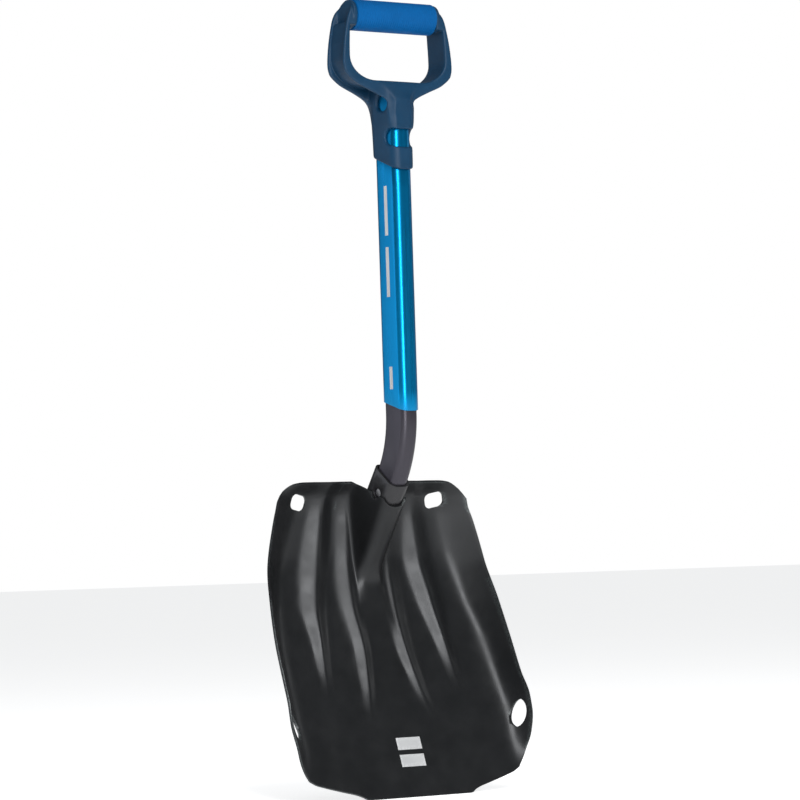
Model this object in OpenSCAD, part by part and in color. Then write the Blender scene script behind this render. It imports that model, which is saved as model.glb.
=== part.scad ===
// Short telescoping rescue shovel: D-grip, two-part shaft and a pressed blade with a shaft socket.
// +Z runs up the straight shaft, the scoop faces -Y and X is the width. All lengths in millimetres.

/* [Blade] */
// Widest width of the blade
blade_w = 244; // [238:1:250]
// Thickness of the pressed sheet
sheet = 2; // [1.6:0.1:2.4]
// Height of the two outer ribs at their fullest
outer_rib = 8; // [5:0.5:9]
// Height of the two inner ribs at their fullest
inner_rib = 5.5; // [4:0.5:7]
// Width of the four lashing holes at the corners
lash_w = 16.5; // [14:0.5:18]

/* [Shaft] */
// Width of the tube across its flat back
tube_back = 28; // [27:0.5:29]
// Width of the tube across its narrow front
tube_front = 17; // [16:0.5:18]
// Depth of the tube from front to back
tube_depth = 25; // [24.5:0.5:25.5]
// Wall of the upper tube
upper_wall = 1.1; // [1:0.1:1.3]
// Wall of the lower tube
lower_wall = 1.3; // [1.1:0.1:1.5]
// Clearance between the two tubes on each side
slide_gap = 0.25; // [0.2:0.05:0.35]
// How far the upper tube pulls out
travel = 170; // [140:5:175]
// Angle by which the lower tube leans back into the blade
bend = 38; // [37:0.5:39]
// Radius of that bend along the tube's middle
bend_r = 88; // [87:0.5:89]
// Diameter of the two catch buttons
button_d = 8; // [7:0.5:8.5]

/* [Grip] */
// Height of the middle of the grip's bar
bar_z = 658.2; // [656:0.2:660]
// Diameter of the ribbed sleeve on the bar
bar_d = 26.6; // [25:0.2:27]
// Length of the ribbed sleeve
bar_len = 80; // [74:1:84]
// Number of fine grooves around the sleeve
grooves = 38; // [20:1:42]
// Inner width of the hand opening
hand_w = 95; // [92:1:97]
// Depth of the frame from front to back
frame_d = 28; // [26:0.5:29]
// Thickness of the frame's front and back plates
plate = 3.6; // [3.2:0.2:4.4]
// Thickness of the web around the hand opening
web = 3; // [2.5:0.5:4]

/* [Hidden] */
$fn = 48;
eps = 0.01;

// ---- smooth curve through [position, value] pairs, without overshoot ----
function span(t, x, i = 0) = (i >= len(t) - 2 || x < t[i + 1][0]) ? i : span(t, x, i + 1);
function chord(t, i) = (t[i + 1][1] - t[i][1]) / (t[i + 1][0] - t[i][0]);
function rate(t, i) = i == 0 ? chord(t, 0) : i == len(t) - 1 ? chord(t, i - 1)
    : let (a = chord(t, i - 1), b = chord(t, i)) a * b <= 0 ? 0 : 2 * a * b / (a + b);
function curve(t, x0) = let (x = min(max(x0, t[0][0]), t[len(t) - 1][0]), i = span(t, x),
    h = t[i + 1][0] - t[i][0], u = (x - t[i][0]) / h)
    t[i][1] * (1 + 2 * u) * (1 - u) * (1 - u) + rate(t, i) * h * u * (1 - u) * (1 - u)
    + t[i + 1][1] * u * u * (3 - 2 * u) + rate(t, i + 1) * h * u * u * (u - 1);
function soft(u, r) = (u + sqrt(u * u + r * r)) / 2;
function softmin(a, b, k) = (a + b - sqrt((a - b) * (a - b) + k * k)) / 2;

// ---- tube section: a trapezoid with round corners, inset by d on every side ----
flank = atan((tube_back - tube_front) / 2 / tube_depth);
back_r = 4;
front_r = 7;
function corner_x(y, r) = tube_front / 2 + (sin(flank) * (y + tube_depth / 2) - r) / cos(flank);
function flank_x(y, d) = tube_front / 2 + (y + tube_depth / 2) * tan(flank) - d / cos(flank);
function section(d, more = 0, k = 6) = let (
    yb = tube_depth / 2 - back_r + more, yf = -tube_depth / 2 + front_r,
    xb = corner_x(yb, back_r), xf = corner_x(yf, front_r), rb = back_r - d, rf = front_r - d)
    [for (i = [0:k]) let (a = -90 + (90 - flank) * i / k) [xf + rf * cos(a), yf + rf * sin(a)],
     for (i = [0:k]) let (a = -flank + (90 + flank) * i / k) [xb + rb * cos(a), yb + rb * sin(a)],
     for (i = [0:k]) let (a = 90 + (90 + flank) * i / k) [-xb + rb * cos(a), yb + rb * sin(a)],
     for (i = [0:k]) let (a = 180 + flank + (90 - flank) * i / k)
         [-xf + rf * cos(a), yf + rf * sin(a)]];

// insets of the nested tubes
lower_out = upper_wall + slide_gap;
lower_in = lower_out + lower_wall;
sleeve_in = lower_out - 0.3;
sleeve_out = sleeve_in - 1.8;
sheet_gap = 0.15;

// ---- heights along the shaft ----
bend_z = 321;
lower_top = 545;
upper_top = 590;
foot = 55;
foot_y = bend_r * (1 - cos(bend));
foot_z = bend_z - bend_r * sin(bend);
catch_z = 520;
catch_t = 14;
button_r = button_d / 2;
telescope_pop = 3.5;
blade_pop = 3;

// ---- blade: side and plan curves by height ----
grow = blade_w / 242.4;
pan_y = [[0, -9.4], [37, 5.6], [65, 17], [91, 30], [131, 48], [165, 62], [205, 69], [235, 68],
         [252, 65], [266, 51]];
rim_y = [[0, -9.4], [14, -3.8], [22, -2.8], [32, -3.6], [46, -5.7], [80, 0.2], [100, 9.8], [122, 19.2],
         [140, 26.3], [165, 35.2], [198, 45.9], [232, 49], [248, 50.5], [266, 49]];
rim_x = [[14, 102.3], [18, 105.3], [24, 109.2], [30, 112], [46, 117.4], [67, 121.2], [80, 120.9],
         [100, 119.2], [127, 118.3], [140, 117.4], [165, 114.8], [198, 109.3], [232, 100.8],
         [250, 94.5]];
fold_x = [[0, 95], [14, 100], [30, 104], [55, 108], [80, 110], [105, 108.5], [131, 105], [156, 99],
          [180, 91], [202, 83], [266, 66]];
outer_x = [[85, 66], [131, 61.5], [165, 57.5], [198, 51.5], [257, 44], [266, 42.5]];
outer_in = [[85, 7], [131, 9.5], [165, 12.8], [198, 15], [266, 14]];
outer_out = [[85, 6], [131, 9], [165, 16.5], [198, 17.5], [266, 11]];
outer_h = [[85, 0], [131, 0.66], [165, 0.92], [198, 1], [257, 0.55], [266, 0.3]];
inner_x = [[63, 31.5], [97, 24.4], [131, 20.5], [165, 21], [198, 20.5], [257, 23]];
inner_h = [[63, 0], [97, 0.65], [131, 0.95], [230, 1], [266, 0.5]];
inner_in = [[63, 5], [97, 7], [138, 9], [181, 11], [266, 10]];
inner_out = [[63, 6], [97, 8], [138, 11], [181, 14], [266, 13]];
apron_h = [[118, 0], [135, 1], [156, 3], [180, 4.5], [266, 5]];
apron_x = [[118, 13], [135, 12.5], [156, 11.5], [180, 8.5], [200, 7], [266, 6]];
notch_z = [[0, 243], [5, 243.8], [9.5, 247], [13, 252.5], [16, 258], [19, 262.5], [24, 265], [68, 265],
           [77, 264.2], [87, 259.5], [92.5, 254], [97, 247]];
corner_z = [[50, 0], [52, 0.4], [55, 2.4], [62, 5.2], [72, 7.8], [82, 10.4], [92, 13.1], [98, 14.8],
            [106, 19]];

function ridge(a, c, wi, wo, h) = let (u = a < c ? (c - a) / wi : (a - c) / wo)
    h * soft(1 - sqrt(u * u + 0.012), 0.24);
// the tongue wraps the socket at one sheet and a small gap from it
tongue_r = front_r - sleeve_out + sheet_gap + sheet;
tongue_y = -tube_depth / 2 + front_r;
tongue_x = corner_x(tongue_y, front_r);
tongue_t = tongue_x + tongue_r * cos(flank);
function tongue_n(a) = a < tongue_x ? tongue_y - tongue_r
    : a < tongue_t ? tongue_y - sqrt(tongue_r * tongue_r - (a - tongue_x) * (a - tongue_x))
    : tongue_y - tongue_r * sin(flank) + (a - tongue_t) / tan(flank);
function tongue(a, z) = foot_y + tan(bend) * (foot_z - z) + tongue_n(a) / cos(bend);
function face_y(x, z) = let (a = abs(x),
    f = curve(fold_x, z) * grow, e = curve(rim_x, z) * grow,
    p = curve(pan_y, z), r = 9 / (e - f),
    g = min(soft((a - f) / (e - f), r) / soft(1, r), 1.05),
    s = p + (curve(rim_y, z) - p) * g
        - ridge(a, curve(outer_x, z) * grow, curve(outer_in, z), curve(outer_out, z),
                outer_rib * curve(outer_h, z))
        - ridge(a, curve(inner_x, z), curve(inner_in, z), curve(inner_out, z),
                inner_rib * curve(inner_h, z))
        - curve(apron_h, z) * soft(1 - soft((a - curve(apron_x, z)) / 6, 0.5), 0.3))
    softmin(s, tongue(a, z), 11);
function sheet_y(x, z) = let (
    sx = (face_y(x + 1, z) - face_y(x - 1, z)) / 2, sz = (face_y(x, z + 1) - face_y(x, z - 1)) / 2)
    min(sheet * sqrt(1 + sx * sx + sz * sz), 4 * sheet);

// columns follow the pressed lines, rows run from the cutting edge to the top edge
function mix(a, b, u) = a + (b - a) * u;
function half_columns(z) = let (ci = curve(inner_x, z), co = curve(outer_x, z) * grow,
    oi = co - curve(outer_in, z), oo = co + curve(outer_out, z),
    f = curve(fold_x, z) * grow, e = curve(rim_x, mix(18, 248, z / 265)) * grow)
    [0, tongue_x, 6, 8, 9.6, 11, 13, 15, 17.2, ci, ci + 4.5, ci + 9,
     mix(ci + 9, oi, 0.97), (oi + co) / 2, co, (co + oo) / 2, oo, mix(oo, f, 0.5), f,
     mix(f, e, 0.3), mix(f, e, 0.65), e];
function columns(z) = let (h = half_columns(z), n = len(h))
    [for (i = [n - 1:-1:1]) -h[i], for (i = [0:n - 1]) h[i]];
rows = [0, 4, 9, 15, 22, 30, 38, 47, 56, 66, 76, 86, 96, 106, 116, 126, 136, 146, 155, 164, 173,
        181, 189, 197, 205, 213, 221, 229, 236, 242, 247, 251, 255, 258.5, 262, 265];
function row_points(z0) = [for (x = columns(z0)) let (a = abs(x) / grow,
    z = mix(curve(corner_z, a), curve(notch_z, a), z0 / 265)) [x, z]];
grid = [for (z0 = rows) row_points(z0)];
front = [for (r = grid) [for (p = r) [p[0], face_y(p[0], p[1]), p[1]]]];
rear = [for (r = grid) [for (p = r) [p[0], face_y(p[0], p[1]) + sheet_y(p[0], p[1]), p[1]]]];
y_back = max([for (r = rear) for (p = r) p[1]]);
collar = 2.35;
y_front = -tube_depth / 2 - collar;
y_mid = (y_back + y_front) / 2;

module place() { translate([0, -y_mid, 0]) children(); }

// ---- blade ----
module sheet_solid() {
    m = len(grid[0]);
    n = len(grid);
    k = m * n;
    polyhedron(
        points = concat([for (r = front) each r], [for (r = rear) each r]),
        faces = concat(
            [for (j = [0:n - 2]) for (i = [0:m - 2]) let (a = j * m + i)
                each [[a, a + 1, a + m + 1], [a, a + m + 1, a + m]]],
            [for (j = [0:n - 2]) for (i = [0:m - 2]) let (a = k + j * m + i)
                each [[a, a + m + 1, a + 1], [a, a + m, a + m + 1]]],
            [for (i = [0:m - 2]) each [[i, k + i + 1, i + 1], [i, k + i, k + i + 1]]],
            [for (i = [0:m - 2]) let (a = (n - 1) * m + i)
                each [[a, a + 1, k + a + 1], [a, k + a + 1, k + a]]],
            [for (j = [0:n - 2]) let (a = j * m)
                each [[a, a + m, k + a + m], [a, k + a + m, k + a]]],
            [for (j = [0:n - 2]) let (a = j * m + m - 1)
                each [[a, k + a + m, a + m], [a, k + a, k + a + m]]]),
        convexity = 8);
}

// a w by h opening with corners of radius r, pushed through along its own Z
module lash_hole(w, h, r) {
    linear_extrude(60, center = true) offset(r) square([w - 2 * r, h - 2 * r], center = true);
}
// an oval one with slightly pointed ends
module lash_oval(w, h) {
    linear_extrude(60, center = true) polygon([for (i = [0:35]) let (c = cos(i * 10), t = sin(i * 10))
        [w / 2 * sign(c) * pow(abs(c), 1.2), h / 2 * sign(t) * pow(abs(t), 0.92)]]);
}

module blade() {
    color([0.15, 0.15, 0.16]) place() difference() {
        sheet_solid();
        for (s = [-1, 1]) {
            translate([s * 69 * grow, 60, 249.5]) rotate([90, 0, 0]) rotate([0, 0, s * 12])
                lash_hole(lash_w, lash_w - 3.5, 4.8);
            translate([s * 115 * grow, 7, 64]) rotate([0, 0, s * 20]) rotate([0, 90, 0])
                rotate([0, 0, 90]) lash_oval(lash_w - 3.7, 23.5);
        }
    }
}

// ---- frame of the tube's lower end: local -Z runs down into the socket, +Y to its back ----
module at_foot() { translate([0, foot_y, foot_z]) rotate([bend, 0, 0]) children(); }
module on_left_flank() {
    at_foot() translate([-flank_x(0, lower_out), 0, -catch_t]) rotate([0, 0, 180 + flank])
        rotate([0, 90, 0]) children();
}

module blade_socket() {
    color([0.13, 0.13, 0.14]) place() difference() {
        at_foot() translate([0, 0, -58]) linear_extrude(63.5) polygon(section(sleeve_out, 1.2));
        at_foot() translate([0, 0, -59]) linear_extrude(70) polygon(section(sleeve_in, 1.2));
        at_foot() translate([0, -14, 1.3]) rotate([7.5, 0, 0]) translate([-30, -30, 0])
            cube([60, 80, 20]);
        on_left_flank() translate([0, 0, -1]) cylinder(r = button_r + 0.3, h = 8);
    }
}

// ---- lower shaft: one swept wall, from its lower end round the bend to its top ----
bend_steps = 14;
function at_station(p, i) = i == 0
    ? [p[0], foot_y + foot * sin(bend) + p[1] * cos(bend), foot_z - foot * cos(bend) + p[1] * sin(bend)]
    : i == bend_steps + 2 ? [p[0], p[1], lower_top]
    : let (v = bend * (1 - (i - 1) / bend_steps), r = bend_r - p[1])
        [p[0], bend_r - r * cos(v), bend_z - r * sin(v)];

module lower_wall_swept() {
    outer = section(lower_out);
    inner = section(lower_in);
    m = len(outer);
    n = bend_steps + 3;
    rings = concat([for (i = [0:n - 1]) [for (p = outer) at_station(p, i)]],
                   [for (i = [n - 1:-1:0]) [for (p = inner) at_station(p, i)]]);
    polyhedron(
        points = [for (r = rings) each r],
        faces = [for (j = [0:2 * n - 1]) for (i = [0:m - 1]) let (
                a = j * m, b = ((j + 1) % (2 * n)) * m, k = (i + 1) % m)
            each [[a + i, b + k, a + k], [a + i, b + i, b + k]]],
        convexity = 8);
}

module lower_shaft() {
    color([0.18, 0.17, 0.2]) place() difference() {
        lower_wall_swept();
        on_left_flank() translate([0, 0, -4]) cylinder(r = button_r + 0.1, h = 8);
        translate([0, 2, catch_z]) rotate([-90, 0, 0]) cylinder(r = button_r + 0.1, h = 20);
    }
}

module snow_plug() {
    color([0.1, 0.1, 0.1]) place() at_foot() {
        translate([0, 0, -foot]) linear_extrude(9) polygon(section(lower_in + 0.05));
        translate([0, 0, -foot - 2]) linear_extrude(2) polygon(section(lower_out + 0.1));
    }
}

module guide_bush() {
    color([0.1, 0.1, 0.1]) place() difference() {
        union() {
            translate([0, 0, lower_top - 14]) linear_extrude(14)
                polygon(section(lower_in + 0.05));
            translate([0, 0, lower_top]) linear_extrude(6) polygon(section(upper_wall + 0.15));
        }
        translate([0, 0, lower_top - 15]) linear_extrude(30) polygon(section(lower_in + 1.3));
    }
}

// ---- catches: a flanged pin with its top at z = 0, standing out along +Z ----
module pin(depth) {
    rotate_extrude() polygon([[0, -depth - 1.2], [button_r + 1.2, -depth - 1.2],
        [button_r + 1.2, -depth], [button_r, -depth], [button_r, -0.7], [button_r - 0.7, 0],
        [0, 0]]);
}

module telescope_button() {
    color([0.75, 0.75, 0.77]) place()
        translate([0, tube_depth / 2 - lower_out, catch_z]) rotate([-90, 0, 0])
            pin(lower_wall + telescope_pop + 0.1);
}

module blade_button() {
    color([0.75, 0.75, 0.77]) place() on_left_flank() pin(lower_wall + blade_pop + 0.1);
}

// leaf springs: a strip folded into a V, its two legs between the button and the far wall
module telescope_spring() {
    y0 = -tube_depth / 2 + lower_in + 0.02;
    y1 = tube_depth / 2 - lower_in - telescope_pop - 1.7;
    color([0.6, 0.6, 0.62]) place() rotate([90, 0, 90]) linear_extrude(6, center = true)
        polygon([[y0, catch_z - 44], [y0 + 1.6, catch_z - 46], [y1, catch_z - 8],
                 [y1, catch_z + 6], [y1 - 0.7, catch_z + 6], [y1 - 0.7, catch_z - 8],
                 [y0 + 1.5, catch_z - 44.6], [y0 + 0.7, catch_z - 43.6],
                 [y0 + 0.7, catch_z + 8], [y0, catch_z + 8]]);
}

module blade_spring() {
    z1 = -lower_wall - blade_pop - 1.7;
    z0 = -18;
    color([0.6, 0.6, 0.62]) place() on_left_flank() rotate([90, 0, 0])
        linear_extrude(6, center = true)
        polygon([[26, z0], [27, z0 + 1.6], [7, z1], [-5, z1], [-5, z1 - 0.7],
                 [6.6, z1 - 0.7], [25.6, z0 + 1.3], [25.2, z0 + 0.7], [-6, z0 + 0.7], [-6, z0]]);
}

// ---- upper shaft ----
// everything below a plane through height z at Y = 0, rising towards the back by the angle a
module below(z, a) {
    translate([0, 0, z]) rotate([a, 0, 0]) translate([-80, -80, -160]) cube([160, 160, 160]);
}

module upper_shaft() {
    color([0, 0.35, 0.6]) place() difference() {
        translate([0, 0, 310]) linear_extrude(upper_top - 310) polygon(section(0));
        // slightly thinner where the collar takes it
        difference() {
            translate([-40, -40, 500]) cube([80, 80, 120]);
            translate([0, 0, 490]) linear_extrude(140) polygon(section(0.15));
            below(533, 25.3);
        }
        translate([0, 0, 300]) linear_extrude(400) polygon(section(upper_wall));
        below(328, 20.8);
        for (z = [catch_z - travel, catch_z]) translate([0, 2, z]) rotate([-90, 0, 0])
            cylinder(r = button_r + 0.5, h = 20);
        rivet_places() cylinder(r = 1.65, h = 30, center = true);
    }
}

// ---- grip ----
module rivet_places() {
    for (z = [549, 557]) translate([0, tube_depth / 2 + collar, z]) rotate([-90, 0, 0]) children();
}

module grip_rivets() {
    color([0.6, 0.6, 0.62]) place() rivet_places() {
        rotate_extrude() polygon([[0, -3.4], [1.6, -3.4], [1.6, 0], [2.8, 0], [2.7, 0.4],
                                  [2.2, 0.8], [0, 1]]);
    }
}

// the frame sits a little behind the tube's middle, the bar less so
grip_y = 4;
bar_y = 1.5;
// half outline of the frame, from the bar's end down to the collar
frame_half = [[38, 670], [41, 669], [43.4, 666.8], [45.4, 663.6], [47.2, 659.9], [49.6, 653.5],
              [51.2, 647], [52.6, 640], [53.7, 633], [54.5, 626], [55, 619.5], [55, 615],
              [54.3, 611], [53, 607.5], [50, 604.3], [46.4, 601.5], [43, 599.2], [37.4, 596.6],
              [31.6, 594.2], [25.8, 591.6], [20.8, 589.1], [17.2, 586.6], [15, 584], [13.4, 581],
              [12.2, 577.5], [11.2, 573], [10, 567], [7, 561]];
function hand_half(d) = concat(
    [for (p = [[1.3, 648], [0.6, 637], [0.2, 628]]) [hand_w / 2 - p[0] + d, p[1]]],
    [for (i = [0:12]) let (a = -i * 7.5)
        [hand_w / 2 - 26.1 + (26 + d) * cos(a), 622 + (20 + d) * sin(a)]],
    [[8, 602 - d]]);
function both(h) = concat([for (p = h) p], [for (i = [len(h) - 1:-1:0]) [-h[i][0], h[i][1]]]);

module upright(depth) {
    translate([0, grip_y, 0]) rotate([90, 0, 0]) linear_extrude(depth, center = true) children();
}
module hand_outline(d) { polygon(both(hand_half(d))); }

module grip_frame() {
    top = 670 - frame_d / 2;
    color([0.11, 0.26, 0.38]) place() difference() {
        union() {
            // plates, web and bar ends inside a round-topped side profile
            intersection() {
                difference() {
                    upright(frame_d) polygon(both(frame_half));
                    // hand opening and the room for the bar
                    upright(60) {
                        hand_outline(0);
                        translate([-bar_len / 2, 642]) square([bar_len, 40]);
                    }
                    // pockets that open outwards between the two plates
                    for (s = [-1, 1]) upright(frame_d - 2 * plate) difference() {
                        translate([s * 40 - 40, 580]) square([80, 87]);
                        hand_outline(web);
                        translate([-43.2, 642]) square([86.4, 40]);
                        translate([-14.2, 570]) square([28.4, 28]);
                    }
                }
                translate([0, grip_y, 0]) rotate([90, 0, 90]) linear_extrude(140, center = true) {
                    translate([0, top]) circle(d = frame_d, $fn = 96);
                    translate([-frame_d / 2, 540]) square([frame_d, top - 540]);
                }
            }
            // core of the bar
            translate([0, bar_y, bar_z]) rotate([0, 90, 0])
                cylinder(d = 17, h = bar_len + 4, center = true);
            // collar
            difference() {
                translate([0, 0, 515]) linear_extrude(71) polygon(section(-collar));
                below(533.4, 25.3);
            }
            // closed shoulder between the collar and the front plate
            hull() {
                translate([0, 0, 580]) linear_extrude(11.5) polygon(section(-collar));
                translate([-13, grip_y - frame_d / 2, 595]) cube([26, 4, 5]);
            }
        }
        // room for the tube
        translate([0, 0, 500]) linear_extrude(upper_top + 0.2 - 500) polygon(section(0.1));
        // window across the collar's front
        difference() {
            translate([0, -10.9, 554.6]) rotate([90, 0, 90]) linear_extrude(60, center = true)
                rotate(19.4) {
                    circle(d = 14.2);
                    translate([-10, 0]) square([20, 14.2], center = true);
                }
            translate([0, 0, 500]) linear_extrude(upper_top - 500) polygon(section(0.12));
        }
        // openings beside the collar where the pockets reach the tube
        for (s = [-1, 1]) translate([s * 26, -2.6, 583]) rotate([90, 0, 90])
            linear_extrude(30, center = true) {
                scale([1.2, 1]) circle(d = 11.4);
                polygon([[-5.2, -2], [0, -8], [5.2, -2]]);
            }
        rivet_places() cylinder(r = 1.65, h = 30, center = true);
    }
}

module grip_rubber() {
    p = bar_len / grooves;
    color([0, 0.37, 0.67]) place() translate([0, bar_y, bar_z]) rotate([0, 90, 0])
        rotate_extrude($fn = 96) polygon(concat(
            [[8.6, bar_len / 2 - 0.1], [8.6, -bar_len / 2 + 0.1], [bar_d / 2 - 0.6, -bar_len / 2 + 0.1]],
            [for (i = [0:grooves - 1]) let (z = -bar_len / 2 + (i + 0.5) * p)
                each [[bar_d / 2 - 0.5, z - p * 0.42], [bar_d / 2, z - p * 0.22],
                      [bar_d / 2, z + p * 0.22], [bar_d / 2 - 0.5, z + p * 0.42]]],
            [[bar_d / 2 - 0.6, bar_len / 2 - 0.1]]));
}

blade();
blade_socket();
lower_shaft();
snow_plug();
guide_bush();
telescope_button();
telescope_spring();
blade_button();
blade_spring();
upper_shaft();
grip_frame();
grip_rubber();
grip_rivets();
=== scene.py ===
import math

import bmesh
import bpy
import numpy as np
import openvdb
from mathutils import Matrix, Vector


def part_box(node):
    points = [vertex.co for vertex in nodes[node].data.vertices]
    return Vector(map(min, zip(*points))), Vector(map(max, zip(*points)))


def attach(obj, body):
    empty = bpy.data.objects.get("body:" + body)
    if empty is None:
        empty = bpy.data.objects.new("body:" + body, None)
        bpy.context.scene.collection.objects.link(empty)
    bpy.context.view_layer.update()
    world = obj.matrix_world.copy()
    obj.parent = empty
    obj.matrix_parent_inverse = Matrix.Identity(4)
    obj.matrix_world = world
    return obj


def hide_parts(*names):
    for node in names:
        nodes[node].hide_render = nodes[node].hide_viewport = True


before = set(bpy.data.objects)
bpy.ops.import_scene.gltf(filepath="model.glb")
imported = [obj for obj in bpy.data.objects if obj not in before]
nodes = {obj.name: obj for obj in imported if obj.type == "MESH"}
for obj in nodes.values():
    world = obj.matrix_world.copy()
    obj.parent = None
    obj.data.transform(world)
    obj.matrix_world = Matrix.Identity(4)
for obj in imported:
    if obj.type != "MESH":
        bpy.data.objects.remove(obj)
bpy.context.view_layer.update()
MM = 0.001


# ---------------------------------------------------------------- numbers shared with the CAD part
# the trapezoid tube: depth, widths across its back and its front, corner radii, lean of its flanks
DEPTH, BACK, FRONT = 25.0, 28.0, 17.0
BACK_R, FRONT_R = 4.0, 7.0
FLANK = math.atan((BACK - FRONT) / 2 / DEPTH)
# bend of the lower shaft: its angle, its radius and the height it starts at, then the point it ends at
BEND, BEND_R, BEND_Z = math.radians(38), 88.0, 321.0
FOOT_Y = BEND_R * (1 - math.cos(BEND))
FOOT_Z = BEND_Z - BEND_R * math.sin(BEND)
# walls, as insets from the tube's outline: negative ones lie outside it
UPPER_IN, LOWER_OUT, LOWER_IN = 1.1, 1.35, 2.65
SLEEVE_IN, SLEEVE_OUT, COLLAR_OUT = 1.05, -0.75, -2.35
SEAT = 0.15                        # how far the upper tube steps in at the collar
# telescope catch on the shaft, blade catch on the leaning stretch, travel of the telescope
CATCH_Z, CATCH_T, TRAVEL = 520.0, 14.0, 170.0
CATCH_HOLE_R, RIVET_HOLE_R, RIVETS = 4.5, 1.65, (549.0, 557.0)
# slanted lower ends of the upper tube and of the collar, as height at the axis and lean, the tube's
# flat top, and the height where the tube steps in
TUBE_LOW, TUBE_LEAN, TUBE_TOP = 328.0, math.radians(20.8), 590.0
COLLAR_LOW, COLLAR_LEAN, STEP_Z = 533.4, math.radians(25.3), 533.0
Y_MID = DEPTH / 2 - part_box("upper_shaft")[1][1] / MM   # the shaft's axis is at -Y_MID in the row frame


# ---------------------------------------------------------------- curves and outlines
class Curve:
    """Smooth curve through (position, value) pairs, without overshoot."""

    def __init__(self, *pairs):
        self.x = np.array([p[0] for p in pairs], float)
        self.y = np.array([p[1] for p in pairs], float)
        c = np.diff(self.y) / np.diff(self.x)
        m = np.zeros(len(self.x))
        m[0], m[-1] = c[0], c[-1]
        a, b = c[:-1], c[1:]
        ok = a * b > 0
        m[1:-1][ok] = 2 * a[ok] * b[ok] / (a[ok] + b[ok])
        self.m = m

    def __call__(self, v):
        v = np.clip(np.asarray(v, float), self.x[0], self.x[-1])
        i = np.clip(np.searchsorted(self.x, v, side="right") - 1, 0, len(self.x) - 2)
        h = self.x[i + 1] - self.x[i]
        u = (v - self.x[i]) / h
        return (self.y[i] * (1 + 2 * u) * (1 - u) ** 2 + self.m[i] * h * u * (1 - u) ** 2
                + self.y[i + 1] * u * u * (3 - 2 * u) + self.m[i + 1] * h * u * u * (u - 1))


def soft(u, r):
    """u where it is positive and 0 elsewhere, rounded over about r."""
    return (u + np.sqrt(u * u + r * r)) / 2


def softmin(a, b, k):
    """The smaller of two fields, blended over about k."""
    return (a + b - np.sqrt((a - b) ** 2 + k * k)) / 2


def softmax(a, b, k):
    return -softmin(-a, -b, k)


def mix(a, b, u):
    return a + (b - a) * u


def corner_x(y, r):
    """Where the centre of a corner arc lies if its radius is r, its y is y and it touches the flank."""
    return FRONT / 2 + (math.sin(FLANK) * (y + DEPTH / 2) - r) / math.cos(FLANK)


def flank_x(y, d):
    """The right flank at y, inset by d."""
    return FRONT / 2 + (y + DEPTH / 2) * math.tan(FLANK) - d / math.cos(FLANK)


def section(d, more=0.0, k=14):
    """The tube's outline, inset by d and `more` deeper at its back, as (x, y), counter-clockwise."""
    yb, yf = DEPTH / 2 - BACK_R + more, -DEPTH / 2 + FRONT_R
    xb, xf = corner_x(yb, BACK_R), corner_x(yf, FRONT_R)
    rb, rf = BACK_R - d, FRONT_R - d
    right = []
    for i in range(k + 1):
        a = -math.pi / 2 + (math.pi / 2 - FLANK) * i / k
        right.append((xf + rf * math.cos(a), yf + rf * math.sin(a)))
    for i in range(k + 1):
        a = -FLANK + (math.pi / 2 + FLANK) * i / k
        right.append((xb + rb * math.cos(a), yb + rb * math.sin(a)))
    return right + [(-x, y) for x, y in reversed(right)]


# ---------------------------------------------------------------- mesh helpers
def piece(name, verts, faces, mat=None):
    """A mesh object from points in mm in the shaft's frame."""
    me = bpy.data.meshes.new(name)
    v = np.asarray(verts, float) * MM
    v[:, 1] -= Y_MID * MM
    me.from_pydata(v.tolist(), [], [list(map(int, f)) for f in faces])
    me.validate()
    me.update()
    ob = bpy.data.objects.new(name, me)
    bpy.context.collection.objects.link(ob)
    if mat:
        me.materials.append(mat)
    return ob


def crisp(ob, angle):
    """Smooth shading, with a crisp edge wherever two faces meet at more than this many degrees."""
    bm = bmesh.new()
    bm.from_mesh(ob.data)
    lim = math.radians(angle)
    for f in bm.faces:
        f.smooth = True
    for e in bm.edges:
        e.smooth = len(e.link_faces) == 2 and e.calc_face_angle(0) < lim
    bm.to_mesh(ob.data)
    bm.free()


def face_out(ob, merge=None):
    """Turns every face outwards, after joining points closer than `merge` metres."""
    bm = bmesh.new()
    bm.from_mesh(ob.data)
    if merge:
        bmesh.ops.remove_doubles(bm, verts=bm.verts, dist=merge)
    bmesh.ops.recalc_face_normals(bm, faces=bm.faces)
    bm.to_mesh(ob.data)
    bm.free()


def apply_mods(ob):
    dg = bpy.context.evaluated_depsgraph_get()
    me = bpy.data.meshes.new_from_object(ob.evaluated_get(dg))
    old = ob.data
    ob.modifiers.clear()
    ob.data = me
    bpy.data.meshes.remove(old)


def cut(ob, cutters):
    for c in cutters:
        m = ob.modifiers.new("cut", "BOOLEAN")
        m.operation = "DIFFERENCE"
        m.object = c
        m.solver = "MANIFOLD"
    apply_mods(ob)
    for c in cutters:
        bpy.data.objects.remove(c)


def bevel(ob, width, segments=2, angle=50):
    m = ob.modifiers.new("bevel", "BEVEL")
    m.width = width * MM
    m.segments = segments
    m.limit_method = "ANGLE"
    m.angle_limit = math.radians(angle)
    m.use_clamp_overlap = True
    m.harden_normals = False
    apply_mods(ob)


def prism(name, outline, depth, place):
    """A closed prism of a 2-D outline, centred on its own plane, put in place by a 4x4 in mm."""
    n = len(outline)
    v = [place @ Vector((x, y, s * depth / 2)) for s in (-1, 1) for x, y in outline]
    f = [list(range(n))[::-1], list(range(n, 2 * n))]
    f += [[i, (i + 1) % n, n + (i + 1) % n, n + i] for i in range(n)]
    ob = piece(name, [tuple(p) for p in v], f)
    face_out(ob)
    return ob


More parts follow.
